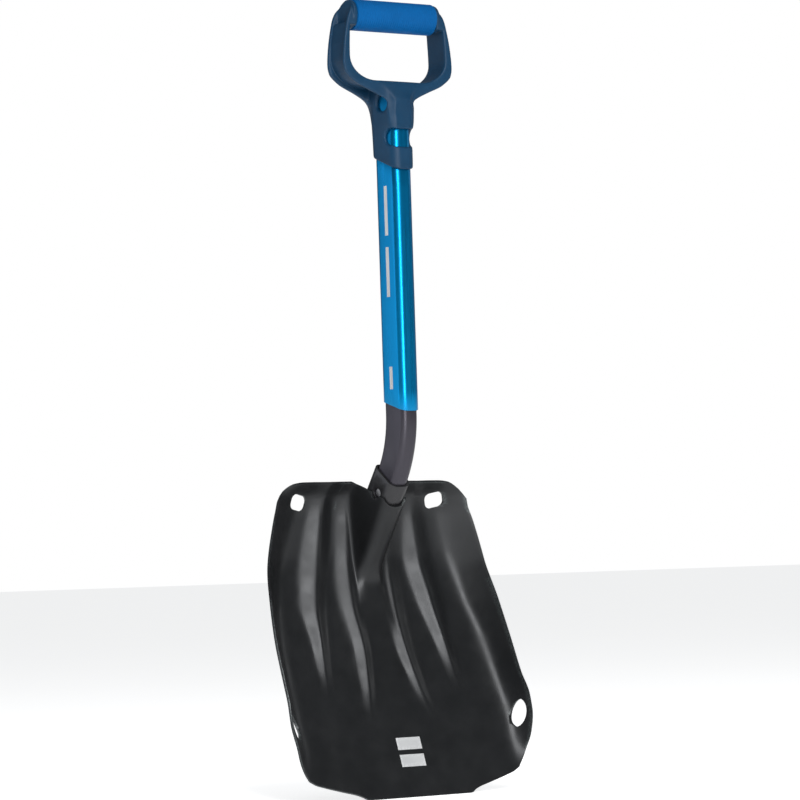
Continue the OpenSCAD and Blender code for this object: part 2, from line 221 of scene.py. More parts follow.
def loft(name, rings, mat):
    """A closed tube wall: rings of equal length joined in order, last to first."""
    m = len(rings[0])
    v = [p for r in rings for p in r]
    f = []
    n = len(rings)
    for j in range(n):
        a, b = j * m, ((j + 1) % n) * m
        for i in range(m):
            k = (i + 1) % m
            f.append([a + i, a + k, b + k, b + i])
    ob = piece(name, v, f, mat)
    face_out(ob)
    crisp(ob, 30)
    return ob


def shell_faces(n, m):
    """Faces of a closed shell between two grids of n by m points, one stored after the other."""
    k = n * m
    idx = np.arange(k).reshape(n, m)
    q = np.stack([idx[:-1, :-1], idx[:-1, 1:], idx[1:, 1:], idx[1:, :-1]], -1).reshape(-1, 4)
    loop = np.concatenate([idx[0, :-1], idx[:-1, -1], idx[-1, :0:-1], idx[:0:-1, 0]])
    rim = [[a, a + k, c + k, c] for a, c in zip(loop, np.roll(loop, -1))]
    return q.tolist() + (q[:, ::-1] + k).tolist() + rim


def stand_for(ob, node, body):
    """Shows a piece in place of a CAD node, moving with its body."""
    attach(ob, body)
    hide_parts(node)


# ---------------------------------------------------------------- materials
class Nodes:
    """A material under construction: a Principled surface and the nodes that feed it."""

    def __init__(self, name):
        self.mat = bpy.data.materials.new(name)
        self.mat.use_nodes = True
        self.t = self.mat.node_tree
        self.t.nodes.clear()
        self.out = self.t.nodes.new("ShaderNodeOutputMaterial")
        self.b = self.t.nodes.new("ShaderNodeBsdfPrincipled")
        self.link(self.b.outputs[0], self.out.inputs[0])
        self.co = self.t.nodes.new("ShaderNodeTexCoord").outputs["Object"]

    def link(self, a, b):
        self.t.links.new(a, b)

    def set(self, **kw):
        for k, v in kw.items():
            self.b.inputs[k.replace("_", " ")].default_value = v

    def mapped(self, scale, rot):
        m = self.t.nodes.new("ShaderNodeMapping")
        m.inputs["Scale"].default_value = scale
        m.inputs["Rotation"].default_value = rot
        self.link(self.co, m.inputs["Vector"])
        return m.outputs[0]

    def noise(self, scale, detail, rough=0.5, co=None):
        n = self.t.nodes.new("ShaderNodeTexNoise")
        n.inputs["Scale"].default_value = scale
        n.inputs["Detail"].default_value = detail
        n.inputs["Roughness"].default_value = rough
        self.link(co or self.co, n.inputs["Vector"])
        return n.outputs["Fac"]

    def ramp(self, fac, stops):
        r = self.t.nodes.new("ShaderNodeValToRGB")
        e = r.color_ramp.elements
        while len(e) < len(stops):
            e.new(0.5)
        for s, (p, c) in zip(e, stops):
            s.position = p
            s.color = c + (1,)
        self.link(fac, r.inputs[0])
        return r.outputs[0]

    def span(self, fac, a, b, low, high):
        """Maps the range low to high onto the range a to b."""
        m = self.t.nodes.new("ShaderNodeMapRange")
        for i, v in ((1, low), (2, high), (3, a), (4, b)):
            m.inputs[i].default_value = v
        self.link(fac, m.inputs[0])
        return m.outputs[0]

    def times(self, a, b):
        """One value times another, either of which may be a plain number."""
        m = self.t.nodes.new("ShaderNodeMath")
        m.operation = "MULTIPLY"
        for i, v in enumerate((a, b)):
            if isinstance(v, float):
                m.inputs[i].default_value = v
            else:
                self.link(v, m.inputs[i])
        return m.outputs[0]

    def toward(self, fac, base, colour):
        """The base colour, turned towards a plain colour by fac."""
        m = self.t.nodes.new("ShaderNodeMix")
        m.data_type = "RGBA"
        self.link(fac, m.inputs[0])
        self.link(base, m.inputs[6])
        m.inputs[7].default_value = colour + (1,)
        return m.outputs[2]

    def edges(self, low, high):
        """1 on worn outer edges, 0 elsewhere, from the surface's pointiness."""
        g = self.t.nodes.new("ShaderNodeNewGeometry")
        return self.span(g.outputs["Pointiness"], 0, 1, low, high)

    def bump(self, *layers):
        """Stacks bumps, each given as (height, distance in metres, strength)."""
        prev = None
        for fac, dist, strength in layers:
            n = self.t.nodes.new("ShaderNodeBump")
            n.inputs["Distance"].default_value = dist
            n.inputs["Strength"].default_value = strength
            self.link(fac, n.inputs["Height"])
            if prev:
                self.link(prev, n.inputs["Normal"])
            prev = n.outputs[0]
        self.link(prev, self.b.inputs["Normal"])


def anodised(name, dark, light, wear_and_sheen, rough, metallic=0.9, drawn=(260, 260, 6), rot=(0, 0, 0)):
    """Metal, faintly clouded, with drawing lines stretched by `drawn` and worn edges turned towards the
    given edge colour; on the blade that colour is also tinted teal as a painted highlight tint.
    """
    m = Nodes(name)
    cloud = m.noise(14, 3)
    lines = m.noise(1, 2, 0.6, m.mapped(drawn, rot))
    col = m.ramp(cloud, [(0.3, dark), (0.7, light)])
    scuff = m.noise(900, 2, 0.7)
    edge = m.times(m.edges(0.53, 0.62), m.span(scuff, 0, 1, 0.42, 0.62))
    m.link(m.toward(m.times(edge, 0.35), col, wear_and_sheen), m.b.inputs["Base Color"])
    m.set(Metallic=metallic)
    m.link(m.span(lines, rough - 0.05, rough + 0.07, 0.3, 0.7), m.b.inputs["Roughness"])
    grain = m.noise(2600, 2, 0.6)
    m.bump((lines, 0.00004, 0.5), (grain, 0.00002, 0.6))
    return m.mat


def moulded(name, dark, light, rough, grain=1500, depth=0.00008, spec=0.4):
    """Moulded plastic or rubber with a fine grain and slightly paler edges."""
    m = Nodes(name)
    col = m.ramp(m.noise(40, 3), [(0.3, dark), (0.7, light)])
    g = m.noise(grain, 2, 0.55)
    pale = tuple(min(1.0, c * 1.6 + 0.02) for c in light)
    edge = m.times(m.edges(0.52, 0.6), m.span(m.noise(700, 2), 0, 1, 0.4, 0.6))
    m.link(m.toward(m.times(edge, 0.3), col, pale), m.b.inputs["Base Color"])
    m.link(m.span(m.noise(120, 3), rough - 0.06, rough + 0.06, 0.3, 0.7), m.b.inputs["Roughness"])
    m.bump((g, depth, 0.7))
    m.set(Specular_IOR_Level=spec)
    return m.mat


BLUE = anodised("blue_anodised", (0.0, 0.16, 0.36), (0.0, 0.19, 0.42), (0.25, 0.45, 0.6), 0.3)
BLACK_TUBE = anodised("black_tube", (0.03, 0.028, 0.036), (0.042, 0.039, 0.05), (0.2, 0.2, 0.2),
                      0.33, 0.6)
# the blade's worn edges turn teal: partly real worn edges, partly a painted highlight tint standing in for
# the teal of its reflections
BLACK_BLADE = anodised("black_blade", (0.013, 0.0138, 0.015), (0.017, 0.018, 0.0195), (0.1, 0.12, 0.12),
                       0.33, 0.55, (60, 60, 60))
BLACK_SLEEVE = anodised("black_sleeve", (0.02, 0.02, 0.022), (0.028, 0.028, 0.03), (0.18, 0.18, 0.18),
                        0.32, 0.55, (200, 12, 12), (BEND, 0, 0))
NYLON = moulded("teal_nylon", (0.001, 0.022, 0.054), (0.002, 0.027, 0.064), 0.5, spec=0.22)
RUBBER = moulded("blue_rubber", (0.0, 0.062, 0.2), (0.0, 0.07, 0.225), 0.6, 1100, 0.0001, 0.07)
PLASTIC = moulded("black_plastic", (0.016, 0.016, 0.017), (0.024, 0.024, 0.025), 0.5)
STEEL = anodised("spring_steel", (0.42, 0.42, 0.43), (0.5, 0.5, 0.51), (0.7, 0.7, 0.7), 0.3, 1.0)
PRINT = moulded("pale_print", (0.34, 0.345, 0.35), (0.38, 0.385, 0.39), 0.5, 1500, 0.00003)
RIVET = anodised("rivet_metal", (0.2, 0.2, 0.21), (0.26, 0.26, 0.27), (0.5, 0.5, 0.5), 0.35, 1.0,
                 (300, 300, 300))
# small CAD parts that are shown as they are
for n, mat in (("telescope_button", STEEL), ("telescope_spring", STEEL), ("blade_button", STEEL),
               ("blade_spring", STEEL), ("guide_bush", PLASTIC), ("snow_plug", PLASTIC),
               ("grip_rivets", RIVET)):
    ms = nodes[n].data.materials
    if len(ms):
        for i in range(len(ms)):
            nodes[n].material_slots[i].material = mat
    else:
        ms.append(mat)


# ---------------------------------------------------------------- blade
# Curves up the blade, in mm: the pan's depth, the rim's depth and half width, the fold between them,
# for the raised ribs their middle, their height and how far they reach in and out, and for the
# apron below the tongue its height and half width.
pan_y = Curve((0, -9.4), (37, 5.6), (65, 17), (91, 30), (131, 48), (165, 62), (205, 69), (235, 68),
              (252, 65), (266, 51))
rim_y = Curve((0, -9.4), (14, -3.8), (22, -2.8), (32, -3.6), (46, -5.7), (80, 0.2), (100, 9.8),
              (122, 19.2), (140, 26.3), (165, 35.2), (198, 45.9), (232, 49), (248, 50.5), (266, 49))
rim_x = Curve((14, 102.3), (18, 105.3), (24, 109.2), (30, 112), (46, 117.4), (67, 121.2), (80, 120.9),
              (100, 119.2), (127, 118.3), (140, 117.4), (165, 114.8), (198, 109.3), (232, 100.8),
              (250, 94.5))
fold_x = Curve((0, 95), (14, 100), (30, 104), (55, 108), (80, 110), (105, 108.5), (131, 105), (156, 99),
               (180, 91), (202, 83), (266, 66))
outer_x = Curve((85, 66), (131, 61.5), (165, 57.5), (198, 51.5), (257, 44), (266, 42.5))
outer_in = Curve((85, 7), (131, 9.5), (165, 12.8), (198, 15), (266, 14))
outer_out = Curve((85, 6), (131, 9), (165, 16.5), (198, 17.5), (266, 11))
outer_h = Curve((85, 0), (131, 0.66), (165, 0.92), (198, 1), (257, 0.55), (266, 0.3))
inner_x = Curve((63, 31.5), (97, 24.4), (131, 20.5), (165, 21), (198, 20.5), (257, 23))
inner_h = Curve((63, 0), (97, 0.65), (131, 0.95), (230, 1), (266, 0.5))
inner_in = Curve((63, 5), (97, 7), (138, 9), (181, 11), (266, 10))
inner_out = Curve((63, 6), (97, 8), (138, 11), (181, 14), (266, 13))
apron_h = Curve((118, 0), (135, 1), (156, 3), (180, 4.5), (266, 5))
apron_x = Curve((118, 13), (135, 12.5), (156, 11.5), (180, 8.5), (200, 7), (266, 6))
# the top and the bottom edge of the sheet, against the distance from the middle
notch_z = Curve((0, 243), (5, 243.8), (9.5, 247), (13, 252.5), (16, 258), (19, 262.5), (24, 265), (68, 265),
                (77, 264.2), (87, 259.5), (92.5, 254), (97, 247))
corner_z = Curve((50, 0), (52, 0.4), (55, 2.4), (62, 5.2), (72, 7.8), (82, 10.4), (92, 13.1), (98, 14.8),
                 (106, 19))
# top of the sheet, and the height where its lip starts to curl forward
LIP_Z, CURL_Z = 265.0, 236.0
SHEET, WELD_GAP = 2.0, 0.15
OUTER_RIB, INNER_RIB = 8.0, 5.5
# the tongue wraps the sleeve's front corners: radius and centre of the arc, and where its flank starts
TONGUE_R = FRONT_R - SLEEVE_OUT + WELD_GAP + SHEET
TONGUE_Y = -DEPTH / 2 + FRONT_R
TONGUE_X = corner_x(TONGUE_Y, FRONT_R)
TONGUE_END = TONGUE_X + TONGUE_R * math.cos(FLANK)


def ridge(a, c, wi, wo, h):
    """A rounded ridge of height h at c, reaching wi inwards and wo outwards."""
    u = np.where(a < c, (c - a) / wi, (a - c) / wo)
    return h * soft(1 - np.sqrt(u * u + 0.012), 0.24)


def tongue(a, z):
    """The face of the tongue over the leaning sleeve, at a distance a from the middle."""
    arc = TONGUE_Y - np.sqrt(np.maximum(TONGUE_R * TONGUE_R - np.maximum(a - TONGUE_X, 0) ** 2, 0))
    flank = TONGUE_Y - TONGUE_R * math.sin(FLANK) + (a - TONGUE_END) / math.tan(FLANK)
    n = np.where(a < TONGUE_X, TONGUE_Y - TONGUE_R, np.where(a < TONGUE_END, arc, flank))
    return FOOT_Y + math.tan(BEND) * (FOOT_Z - z) + n / math.cos(BEND)


def face_y(x, z):
    """The blade's front face: pan and flange, less the ribs, and the tongue in front of them."""
    a = np.abs(x)
    f, e, p = fold_x(z), rim_x(z), pan_y(z)
    r = 9 / (e - f)
    g = np.minimum(soft((a - f) / (e - f), r) / soft(1, r), 1.05)
    s = (p + (rim_y(z) - p) * g
         - ridge(a, outer_x(z), outer_in(z), outer_out(z), OUTER_RIB * outer_h(z))
         - ridge(a, inner_x(z), inner_in(z), inner_out(z), INNER_RIB * inner_h(z))
         - apron_h(z) * soft(1 - soft((a - apron_x(z)) / 6.0, 0.5), 0.3))
    return softmin(s, tongue(a, z), 11)


def guides(z):
    """Positions across the right half of the blade that the grid's columns follow at height z."""
    ci, co = inner_x(z), outer_x(z)
    oi, oo = co - outer_in(z), co + outer_out(z)
    f, e = fold_x(z), rim_x(mix(18, 248, z / LIP_Z))
    return np.array([0, TONGUE_X, 6, 8, 9.6, 11, 13, 15, 17.2, ci, ci + 4.5, ci + 9, mix(ci + 9, oi, 0.97),
                     (oi + co) / 2, co, (co + oo) / 2, oo, mix(oo, f, 0.5), f, mix(f, e, 0.3),
                     mix(f, e, 0.65), e])


def sheet_grid():
    """Points of the blade's front face, row by row from its edge to its lip."""
    # how many columns lie between each guide and the next
    subs = [3, 2, 2, 2, 2, 3, 3, 3, 4, 5, 5, 6, 5, 5, 5, 5, 8, 8, 3, 3, 3]
    pos = [0.0]
    for i, s in enumerate(subs):
        pos += [i + (k + 1) / s for k in range(s)]
    grid = []
    for z0 in np.concatenate([np.linspace(0, CURL_Z, 150), np.linspace(CURL_Z, LIP_Z, 30)[1:]]):
        h = np.interp(np.array(pos), np.arange(len(subs) + 1), guides(z0))
        x = np.concatenate([-h[:0:-1], h])
        a = np.abs(x)
        z = mix(corner_z(a), notch_z(a), z0 / LIP_Z)
        grid.append(np.stack([x, face_y(x, z), z], 1))
    return np.array(grid)


def back_of(front, e=0.25):
    """The sheet's back face: the front moved by the sheet's thickness along its normals."""
    x, z = front[..., 0], front[..., 2]
    dx = (face_y(x + e, z) - face_y(x - e, z)) / (2 * e)
    dz = (face_y(x, z + e) - face_y(x, z - e)) / (2 * e)
    nrm = np.stack([-dx, np.ones_like(dx), -dz], 2)
    nrm /= np.linalg.norm(nrm, axis=2, keepdims=True)
    return front + SHEET * nrm


def lash_hole(outline, x, y, z, *turns):
    """A cutter for a lashing hole, given its outline, its place and (degrees, axis) turns."""
    place = Matrix.Translation((x, y, z))
    for degrees, axis in turns:
        place = place @ Matrix.Rotation(math.radians(degrees), 4, axis)
    return prism("h", outline, 60, place)


def make_blade():
    front = sheet_grid()
    back = back_of(front)
    inner_edge, band, shrink, floor_z = 84, 34, 1.4, 0.02
    for s in (front, back):
        # the flange is drawn in a little, so that its outer face stays within the CAD blade's width
        outward = np.clip((np.abs(s[..., 0]) - inner_edge) / band, 0, 1)
        s[..., 0] -= np.sign(s[..., 0]) * shrink * outward ** 2
        s[..., 2] = np.maximum(s[..., 2], floor_z)
    v = np.concatenate([front.reshape(-1, 3), back.reshape(-1, 3)])
    ob = piece("blade_sheet", v, shell_faces(*front.shape[:2]), BLACK_BLADE)
    top, low = round_square(16.5, 13, 4.8), lens(12.8, 23.5)
    holes = []
    for s in (-1, 1):
        holes.append(lash_hole(top, s * 69, 60, 249.5, (90, "X"), (s * 12, "Z")))
        holes.append(lash_hole(low, s * 115, 7, 64, (s * 20, "Z"), (90, "Y"), (90, "Z")))
    # room for the blade button when it stands out
    holes.append(prism("h", disc(4.8), 9, on_left_flank() @ Matrix.Translation((0, 0, 1))))
    cut(ob, holes)
    bevel(ob, 0.55, 3)
    crisp(ob, 60)
    return ob


def round_square(w, h, r, k=8):
    """A rectangle with corners of radius r."""
    out = []
    for sx, sy, a in ((1, 1, 0), (-1, 1, math.pi / 2), (-1, -1, math.pi), (1, -1, 1.5 * math.pi)):
        for i in range(k + 1):
            t = a + math.pi / 2 * i / k
            out.append((sx * (w / 2 - r) + r * math.cos(t), sy * (h / 2 - r) + r * math.sin(t)))
    return out


def lens(w, h, k=48):
    """An oval with slightly pointed ends."""
    out = []
    for i in range(k):
        a = 2 * math.pi * i / k
        c, t = math.cos(a), math.sin(a)
        out.append((w / 2 * math.copysign(abs(c) ** 1.2, c), h / 2 * math.copysign(abs(t) ** 0.92, t)))
    return out


# ---------------------------------------------------------------- tubes
def foot_point(x, n, t):
    """A point of the lower, leaning stretch: x across, n to its back, t down along it."""
    return (x, FOOT_Y + t * math.sin(BEND) + n * math.cos(BEND),
            FOOT_Z - t * math.cos(BEND) + n * math.sin(BEND))


def on_left_flank():
    """The blade catch's place on the lower tube, with z pointing out of its left flank."""
    foot = Matrix.Translation(foot_point(-flank_x(0, LOWER_OUT), 0, CATCH_T))
    lean = foot @ Matrix.Rotation(BEND, 4, "X") @ Matrix.Rotation(math.pi + FLANK, 4, "Z")
    return lean @ Matrix.Rotation(math.pi / 2, 4, "Y")


def disc(r, k=64):
    return [(r * math.cos(2 * math.pi * i / k), r * math.sin(2 * math.pi * i / k)) for i in range(k)]


def back_hole(r, z):
    """A cutter for a round hole through the back of the straight tubes."""
    return prism("h", disc(r), 16, Matrix.Translation((0, 12, z)) @ Matrix.Rotation(math.pi / 2, 4, "X"))


def make_upper():
    def low(y):
        return TUBE_LOW + y * math.tan(TUBE_LEAN)

    def step(y):
        return STEP_Z + y * math.tan(COLLAR_LEAN)

    def ring(d, height):
        return [(x, y, height(y)) for x, y in section(d)]

    rings = [[(x, y, mix(low(y), step(y), k / 12)) for x, y in section(0)] for k in range(13)]
    rings.append(ring(SEAT, lambda y: step(y) + 0.3))
    rings.append(ring(SEAT, lambda y: TUBE_TOP))
    rings.append(ring(UPPER_IN, lambda y: TUBE_TOP))
    rings.append(ring(UPPER_IN, low))
    ob = loft("upper_tube", rings, BLUE)
    holes = [back_hole(CATCH_HOLE_R, CATCH_Z), back_hole(CATCH_HOLE_R, CATCH_Z - TRAVEL)]
    cut(ob, holes + [back_hole(RIVET_HOLE_R, z) for z in RIVETS])
    bevel(ob, 0.3)
    crisp(ob, 30)
    return ob


def make_lower():
    def path(d, ts):
        """Rings at stations that are heights, angles round the bend or lengths down the foot."""
        out = []
        for kind, v in ts:
            sec = section(d)
            if kind == "height":
                out.append([(x, y, v) for x, y in sec])
            elif kind == "angle":
                out.append([(x, BEND_R - (BEND_R - y) * math.cos(v), BEND_Z - (BEND_R - y) * math.sin(v))
                            for x, y in sec])
            else:
                out.append([foot_point(x, y, v) for x, y in sec])
        return out

    stations = ([("height", 545), ("height", 430), ("height", BEND_Z)]
                + [("angle", BEND * i / 20) for i in range(1, 20)]
                + [("foot", 0), ("foot", 28), ("foot", 55)])
    rings = path(LOWER_OUT, stations) + path(LOWER_IN, stations[::-1])
    ob = loft("lower_tube", rings, BLACK_TUBE)
    button_r = 4.1
    cut(ob, [back_hole(button_r, CATCH_Z), prism("h", disc(button_r), 8, on_left_flank())])
    bevel(ob, 0.25)
    crisp(ob, 30)
    return ob


def make_sleeve():
    def rim(n):
        """The sleeve's mouth, which rises by 3.7 mm from its front to its back."""
        return -1.3 - 3.7 * max(n + 14, 0) / 28

    def ring(d, down):
        return [foot_point(x, n, down(n)) for x, n in section(d, 1.2)]

    downs = (rim, lambda n: 20, lambda n: 58)
    rings = [ring(SLEEVE_OUT, down) for down in downs] + [ring(SLEEVE_IN, down) for down in downs[::-1]]
    ob = loft("socket_sleeve", rings, BLACK_SLEEVE)
    cut(ob, [prism("h", disc(4.3), 16, on_left_flank() @ Matrix.Translation((0, 0, 7)))])
    bevel(ob, 0.35)
    crisp(ob, 30)
    return ob


stand_for(make_upper(), "upper_shaft", "upper")
stand_for(make_lower(), "lower_shaft", "lower")
stand_for(make_sleeve(), "blade_socket", "blade")
stand_for(make_blade(), "blade", "blade")


# ---------------------------------------------------------------- plain printed marks
def stripe_mark(i, half_width, z0, z1, nx=12, nz=4):
    """A plain stripe printed on the lower pan, following the sheet."""
    x, z = np.meshgrid(np.linspace(-half_width, half_width, nx), np.linspace(z0, z1, nz))
    v = np.concatenate([np.stack([x, face_y(x, z) + off, z], 2).reshape(-1, 3) for off in (-0.12, 0.25)])
    ob = piece("blade_mark_%d" % i, v, shell_faces(nz, nx), PRINT)
    crisp(ob, 40)
    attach(ob, "blade")


def bar_mark(i, z0, z1, y0=-1.8, y1=1.6, raised=0.1):
    """A plain bar printed on the left flank of the upper tube."""
    out = (-math.cos(FLANK) * raised, -math.sin(FLANK) * raised)
    ring = [(-flank_x(y, 0), y, z) for y, z in ((y0, z0), (y1, z0), (y1, z1), (y0, z1))]
    v = [(x + s * out[0], y + s * out[1], z) for s in (1, -1) for x, y, z in ring]
    f = [[0, 1, 2, 3], [7, 6, 5, 4]] + [[k, k + 4, (k + 1) % 4 + 4, (k + 1) % 4] for k in range(4)]
    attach(piece("tube_mark_%d" % i, v, f, PRINT), "upper")


stripe_mark(0, 12, 39, 49)
stripe_mark(1, 12, 25, 35)
for i, (low, high) in enumerate(((472, 514), (420, 462), (342, 361))):
    bar_mark(i, low, high)


# ---------------------------------------------------------------- grip
def polygon_sdf(px, py, pts):
    """Signed distance from points to a closed polygon, negative inside."""
    p = np.array(pts, float)
    q = np.roll(p, -1, 0)
    d = np.full(px.shape, 1e9)
    inside = np.zeros(px.shape, bool)
    for (ax, ay), (bx, by) in zip(p, q):
        ex, ey = bx - ax, by - ay
        t = np.clip(((px - ax) * ex + (py - ay) * ey) / (ex * ex + ey * ey + 1e-12), 0, 1)
        d = np.minimum(d, (px - ax - t * ex) ** 2 + (py - ay - t * ey) ** 2)
        with np.errstate(divide="ignore", invalid="ignore"):
            hit = ((ay > py) != (by > py)) & (px < ex * (py - ay) / (ey if ey else 1e-12) + ax)
        inside ^= hit
    d = np.sqrt(d)
    return np.where(inside, -d, d)


def smooth_half(pts, k=6):
    """Extra points on a Catmull-Rom curve through a half outline."""
    p = [Vector(v) for v in pts]
    out = []
    for i in range(len(p) - 1):
        a, b, c, d = p[max(i - 1, 0)], p[i], p[i + 1], p[min(i + 2, len(p) - 1)]
        for j in range(k):
            u = j / k
            out.append(tuple(0.5 * ((2 * b) + (c - a) * u + (2 * a - 5 * b + 4 * c - d) * u * u
                                    + (3 * b - a - 3 * c + d) * u ** 3)))
    out.append(tuple(p[-1]))
    return out


def both(half):
    """A whole outline from its right half."""
    return list(half) + [(-x, z) for x, z in reversed(half)]


FRAME_HALF = [(38, 670), (41, 669), (43.4, 666.8), (45.4, 663.6), (47.2, 659.9), (49.6, 653.5),
              (51.2, 647), (52.6, 640), (53.7, 633), (54.5, 626), (55, 619.5), (55, 615), (54.3, 611),
              (53, 607.5), (50, 604.3), (46.4, 601.5), (43, 599.2), (37.4, 596.6), (31.6, 594.2),
              (25.8, 591.6), (20.8, 589.1), (17.2, 586.6), (15, 584), (13.4, 581), (12.2, 577.5),
              (11.2, 573), (10, 567), (7, 561)]
HAND_ARC = [math.radians(-7.5 * i) for i in range(13)]
HAND_HALF = ([(46.2, 648), (46.9, 637), (47.3, 628)]
             + [(21.4 + 26 * math.cos(t), 622 + 20 * math.sin(t)) for t in HAND_ARC] + [(8, 602)])
# the frame sits a little behind the tube's middle, and its two plates have pockets between them
GRIP_Y, FRAME_D, FRAME_TOP, PLATE = 4.0, 28.0, 670.0, 3.6
POCKET_LOW, POCKET_TOP, WEB, WEB_MORE = 579.0, 667.0, 3.0, 1.6
BAR_Y, BAR_Z, BAR_R = 1.5, 658.2, 13.3
CORE_R, CAP_R, CAP_X = 8.5, 12.2, 41.6
# above BAY_Z the frame is open between its legs, where the bar goes
BAY_X, BAY_Z = 40.0, 642.0
COLLAR_FRONT, COLLAR_TOP = -DEPTH / 2 + COLLAR_OUT, 588.0
SHOULDER_X, SHOULDER_LOW, SHOULDER_TOP = 7.6, 574.0, 598.0
WINDOW_Y, WINDOW_Z, WINDOW_R, WINDOW_LEAN = -10.9, 554.6, 7.1, math.radians(19.4)
DROP_X, DROP_Y, DROP_Z, DROP_R, DROP_TOP = 10.0, -2.6, 583.0, 5.7, 591.0
VOXEL = 0.6


def grip_frame(X, Y, Z, outer, hand, opening):
    """The hard frame: full depth with a round top, and pockets between its two plates."""
    aX, aY = np.abs(X), np.abs(Y - GRIP_Y)
    half = FRAME_D / 2
    side = np.sqrt((Y - GRIP_Y) ** 2 + np.maximum(Z - FRAME_TOP + half, 0) ** 2) - half
    body = softmax(outer, np.maximum(side, aY - half), 1.2)
    body = softmax(body, -opening, 1.4)
    # the web left beside the hand opening is thinner at the top corners and along the diagonals
    thin = np.clip((Z - 634) / 14, 0, 1) + np.clip((604 - Z) / 8, 0, 1)
    web = WEB + WEB_MORE * (1 - np.clip(thin, 0, 1))
    pocket = np.maximum(aY - (half - PLATE), web - hand)
    # the pockets end short of the frame's top, the bar's bay, the collar and the frame's foot
    for limit in (np.maximum(560 - Z, Z - POCKET_TOP) + 0 * X, -np.maximum(aX - 43.2, BAY_Z - Z),
                  -np.maximum(aX - 14.2, Z - 598), POCKET_LOW - Z + 0 * X):
        pocket = softmax(pocket, limit, 2.0)
    return softmax(body, -pocket, 1.6)


def with_collar(body, X, Y, Z, sleeve, opening):
    """Adds the collar, the closed shoulder in front of it, its window and its side openings."""
    aX = np.abs(X)
    slant = (Z - COLLAR_LOW) - Y * math.tan(COLLAR_LEAN)
    collar = softmax(softmax(sleeve + 0 * Z, -slant * math.cos(COLLAR_LEAN), 1.0), Z - COLLAR_TOP, 6.0)
    body = softmin(body, collar, 4.5)
    # the shoulder carries the collar's front up into the front plate, leaning back and widening
    face = COLLAR_FRONT + np.clip(Z - 586, 0, 14) * 0.36
    ends = np.maximum(SHOULDER_LOW - Z, Z - SHOULDER_TOP) + 0 * X
    shoulder = np.maximum(np.maximum(face - Y, Y + 2), ends)
    shoulder = softmax(shoulder, aX - SHOULDER_X - np.clip(Z - 584, 0, 30) * 0.6, 3.0)
    body = softmin(body, softmax(shoulder, -opening, 1.4), 2.2)
    # nothing stands out in front of the CAD grip
    body = np.maximum(body, COLLAR_FRONT + 0.05 - Y)
    # window across the front of the collar
    c, s = math.cos(WINDOW_LEAN), math.sin(WINDOW_LEAN)
    u = (Y - WINDOW_Y) * c + (Z - WINDOW_Z) * s
    w = -(Y - WINDOW_Y) * s + (Z - WINDOW_Z) * c
    window = np.where(u > 0, np.sqrt(u ** 2 + w ** 2) - WINDOW_R, np.abs(w) - WINDOW_R) + 0 * X
    body = softmax(body, -window, 1.0)
    # drop-shaped openings beside the collar that show the tube
    up = np.minimum(Z - DROP_Z, (Z - DROP_Z) * 0.62)
    drop = np.sqrt(((Y - DROP_Y) / 1.2) ** 2 + up ** 2) - DROP_R
    drop = np.maximum(np.maximum(drop, DROP_X - aX), Z - DROP_TOP)
    return softmax(body, -drop, 1.5)


def with_bar(body, X, Y, Z):
    """Adds the caps at the bar's ends and the core inside the soft sleeve."""
    aX = np.abs(X)
    bar = np.sqrt((Y - BAR_Y) ** 2 + (Z - BAR_Z) ** 2)
    body = softmin(body, np.maximum(bar - CAP_R, np.abs(aX - CAP_X) - 1.4), 1.0)
    return np.minimum(body, np.maximum(bar - CORE_R, aX - 42))


def without_tube(body, X, Y, Z, tube):
    """Takes out the room for the upper tube and, at the back, for the two rivets."""
    body = np.maximum(body, -np.maximum(tube, Z - TUBE_TOP - 0.2))
    rivets = [np.sqrt(X ** 2 + (Z - z) ** 2) for z in RIVETS]
    return np.maximum(body, -np.maximum(np.minimum(*rivets) - RIVET_HOLE_R, -Y))


def make_grip():
    """The D-grip's hard part, as the zero surface of a distance field."""
    x = np.arange(-57, 57 + VOXEL, VOXEL)
    y = np.arange(-16.8, 19.8 + VOXEL, VOXEL)
    z = np.arange(522, 673, VOXEL)
    X2, Z2 = np.meshgrid(x, z, indexing="ij")
    outer = polygon_sdf(X2, Z2, both(smooth_half(FRAME_HALF)))[:, None, :]
    hand = polygon_sdf(X2, Z2, both(HAND_HALF))[:, None, :]
    Xc, Yc = np.meshgrid(x, y, indexing="ij")
    tube = polygon_sdf(Xc, Yc, section(0.1, k=12))[:, :, None]
    sleeve = polygon_sdf(Xc, Yc, section(COLLAR_OUT, k=12))[:, :, None]
    X, Y, Z = x[:, None, None], y[None, :, None], z[None, None, :]
    opening = np.minimum(hand, np.maximum(np.abs(X) - BAY_X, BAY_Z - Z))
    body = grip_frame(X, Y, Z, outer, hand, opening)
    body = with_collar(body, X, Y, Z, sleeve, opening)
    body = with_bar(body, X, Y, Z)
    body = without_tube(body, X, Y, Z, tube)
    g = openvdb.FloatGrid(2.0)
    g.copyFromArray(np.clip(body, -2.0, 2.0).astype(np.float32))
    g.transform = openvdb.createLinearTransform(voxelSize=1.0)
    pts, tris, quads = g.convertToPolygons(isovalue=0.0, adaptivity=0.0)
    v = np.asarray(pts, float) * VOXEL + np.array([x[0], y[0], z[0]])
    f = [list(t)[::-1] for t in tris] + [list(q)[::-1] for q in quads]
    ob = piece("d_grip", v, f, NYLON)
    face_out(ob, merge=0.00001)
    crisp(ob, 75)
    return ob


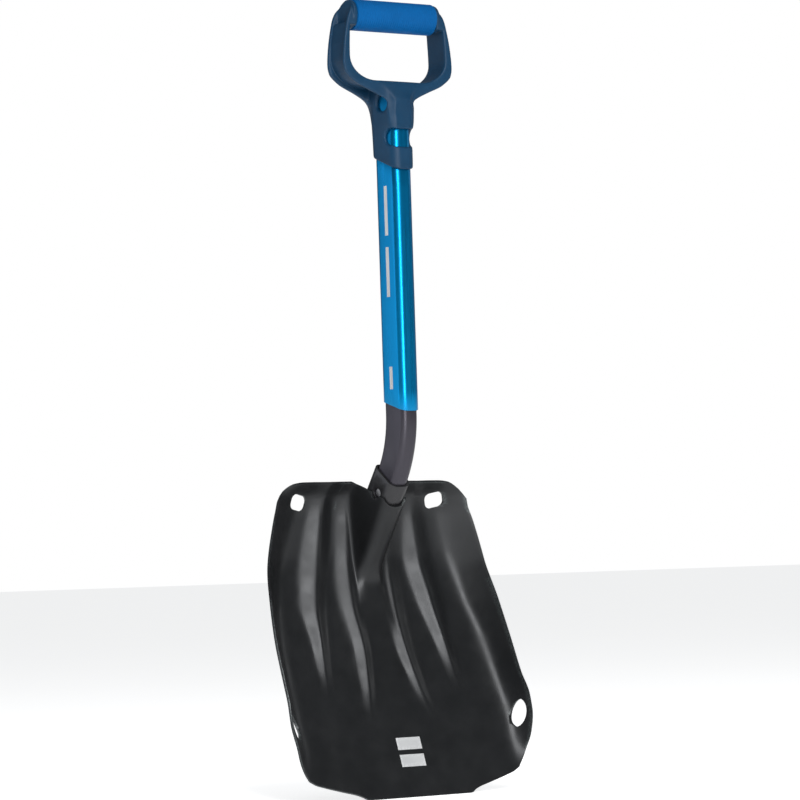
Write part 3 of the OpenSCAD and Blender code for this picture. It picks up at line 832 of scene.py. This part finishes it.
def make_rubber():
    """The soft sleeve on the bar: n fine ribs across it and k points round each ring."""
    half, r, n, k = 39.9, BAR_R, 38, 96
    pitch = 2 * half / n
    prof = [(-half, 8.6), (-half, r - 1.2), (-half + 0.35, r - 0.55)]
    for i in range(n):
        for u in (0.06, 0.16, 0.26, 0.38, 0.5, 0.62, 0.74, 0.84, 0.94):
            hgt = math.sin(math.pi * u) ** 0.6
            xx = -half + (i + u) * pitch
            if -half + 0.4 < xx < half - 0.4:
                prof.append((xx, r - 0.42 + 0.4 * hgt))
    prof += [(half - 0.35, r - 0.55), (half, r - 1.2), (half, 8.6)]
    rings = [[(xx, BAR_Y + rr * math.cos(2 * math.pi * i / k), BAR_Z + rr * math.sin(2 * math.pi * i / k))
              for i in range(k)] for xx, rr in prof]
    return loft("bar_sleeve", rings, RUBBER)


stand_for(make_grip(), "grip_frame", "upper")
stand_for(make_rubber(), "grip_rubber", "upper")


# ---------------------------------------------------------------- stage, lights and camera
def studio_floor():
    m = Nodes("floor")
    tone = m.ramp(m.noise(3, 2), [(0.3, (0.86, 0.86, 0.86)), (0.7, (0.88, 0.88, 0.88))])
    m.link(tone, m.b.inputs["Base Color"])
    m.set(Roughness=0.7, Emission_Color=(1, 1, 1, 1), Emission_Strength=0.7)
    me = bpy.data.meshes.new("floor")
    me.from_pydata([(-40, -40, 0), (40, -40, 0), (40, 40, 0), (-40, 40, 0)], [], [(0, 1, 2, 3)])
    me.materials.append(m.mat)
    ob = bpy.data.objects.new("floor", me)
    bpy.context.collection.objects.link(ob)


studio_floor()
# the camera and the lights aim at about half the shovel's height
TARGET = Vector((0, -Y_MID * MM, 0.333))


def area(name, az, el, dist, size, power, color=(1, 1, 1), size_y=None):
    """A soft light at azimuth az (0 is straight in front, positive to +X) and elevation el."""
    a, e = math.radians(az), math.radians(el)
    li = bpy.data.lights.new(name, "AREA")
    li.shape = "RECTANGLE"
    li.size, li.size_y = size, size_y or size
    li.energy = power
    li.color = color
    ob = bpy.data.objects.new(name, li)
    bpy.context.collection.objects.link(ob)
    d = Vector((math.sin(a) * math.cos(e), -math.cos(a) * math.cos(e), math.sin(e)))
    ob.location = TARGET + d * dist
    ob.rotation_euler = (-d).to_track_quat("-Z", "Y").to_euler()


area("key", -16, 24, 2.4, 0.8, 78, size_y=2.9)
area("left", -112, 10, 2.6, 1.2, 10, (0.85, 0.9, 1), size_y=1.8)
area("right", 80, 20, 3.2, 0.9, 3)
area("top", -30, 80, 2.6, 1.6, 10)

# the camera sees a white background, while the surfaces are lit by a dimmer one
world = bpy.data.worlds.new("studio")
world.use_nodes = True
wt = world.node_tree
bg = wt.nodes["Background"]
bg.inputs["Color"].default_value = (0.93, 0.97, 1, 1)
bg.inputs["Strength"].default_value = 0.2
seen = wt.nodes.new("ShaderNodeBackground")
seen.inputs["Color"].default_value = (1, 1, 1, 1)
seen.inputs["Strength"].default_value = 1.0
path = wt.nodes.new("ShaderNodeLightPath")
by_ray = wt.nodes.new("ShaderNodeMixShader")
wt.links.new(path.outputs["Is Camera Ray"], by_ray.inputs[0])
wt.links.new(bg.outputs[0], by_ray.inputs[1])
wt.links.new(seen.outputs[0], by_ray.inputs[2])
wt.links.new(by_ray.outputs[0], wt.nodes["World Output"].inputs[0])
bpy.context.scene.view_settings.view_transform = "Standard"
bpy.context.scene.world = world

cam = bpy.data.cameras.new("camera")
cam.lens = 152
cam.sensor_width = 36
cam.clip_end = 200
cam_ob = bpy.data.objects.new("camera", cam)
bpy.context.collection.objects.link(cam_ob)
AZ, EL, ROLL = math.radians(-33), math.radians(-2.8), math.radians(1.83)
DIST, SHIFT = 2.85, 0.0026
d = Vector((math.sin(AZ) * math.cos(EL), -math.cos(AZ) * math.cos(EL), math.sin(EL)))
side = Vector((math.cos(AZ), math.sin(AZ), 0))
cam_ob.location = TARGET + d * DIST - side * SHIFT
tilt = Matrix.Rotation(-ROLL, 3, "Z").to_quaternion()
cam_ob.rotation_euler = ((-d).to_track_quat("-Z", "Y") @ tilt).to_euler()
bpy.context.scene.camera = cam_ob
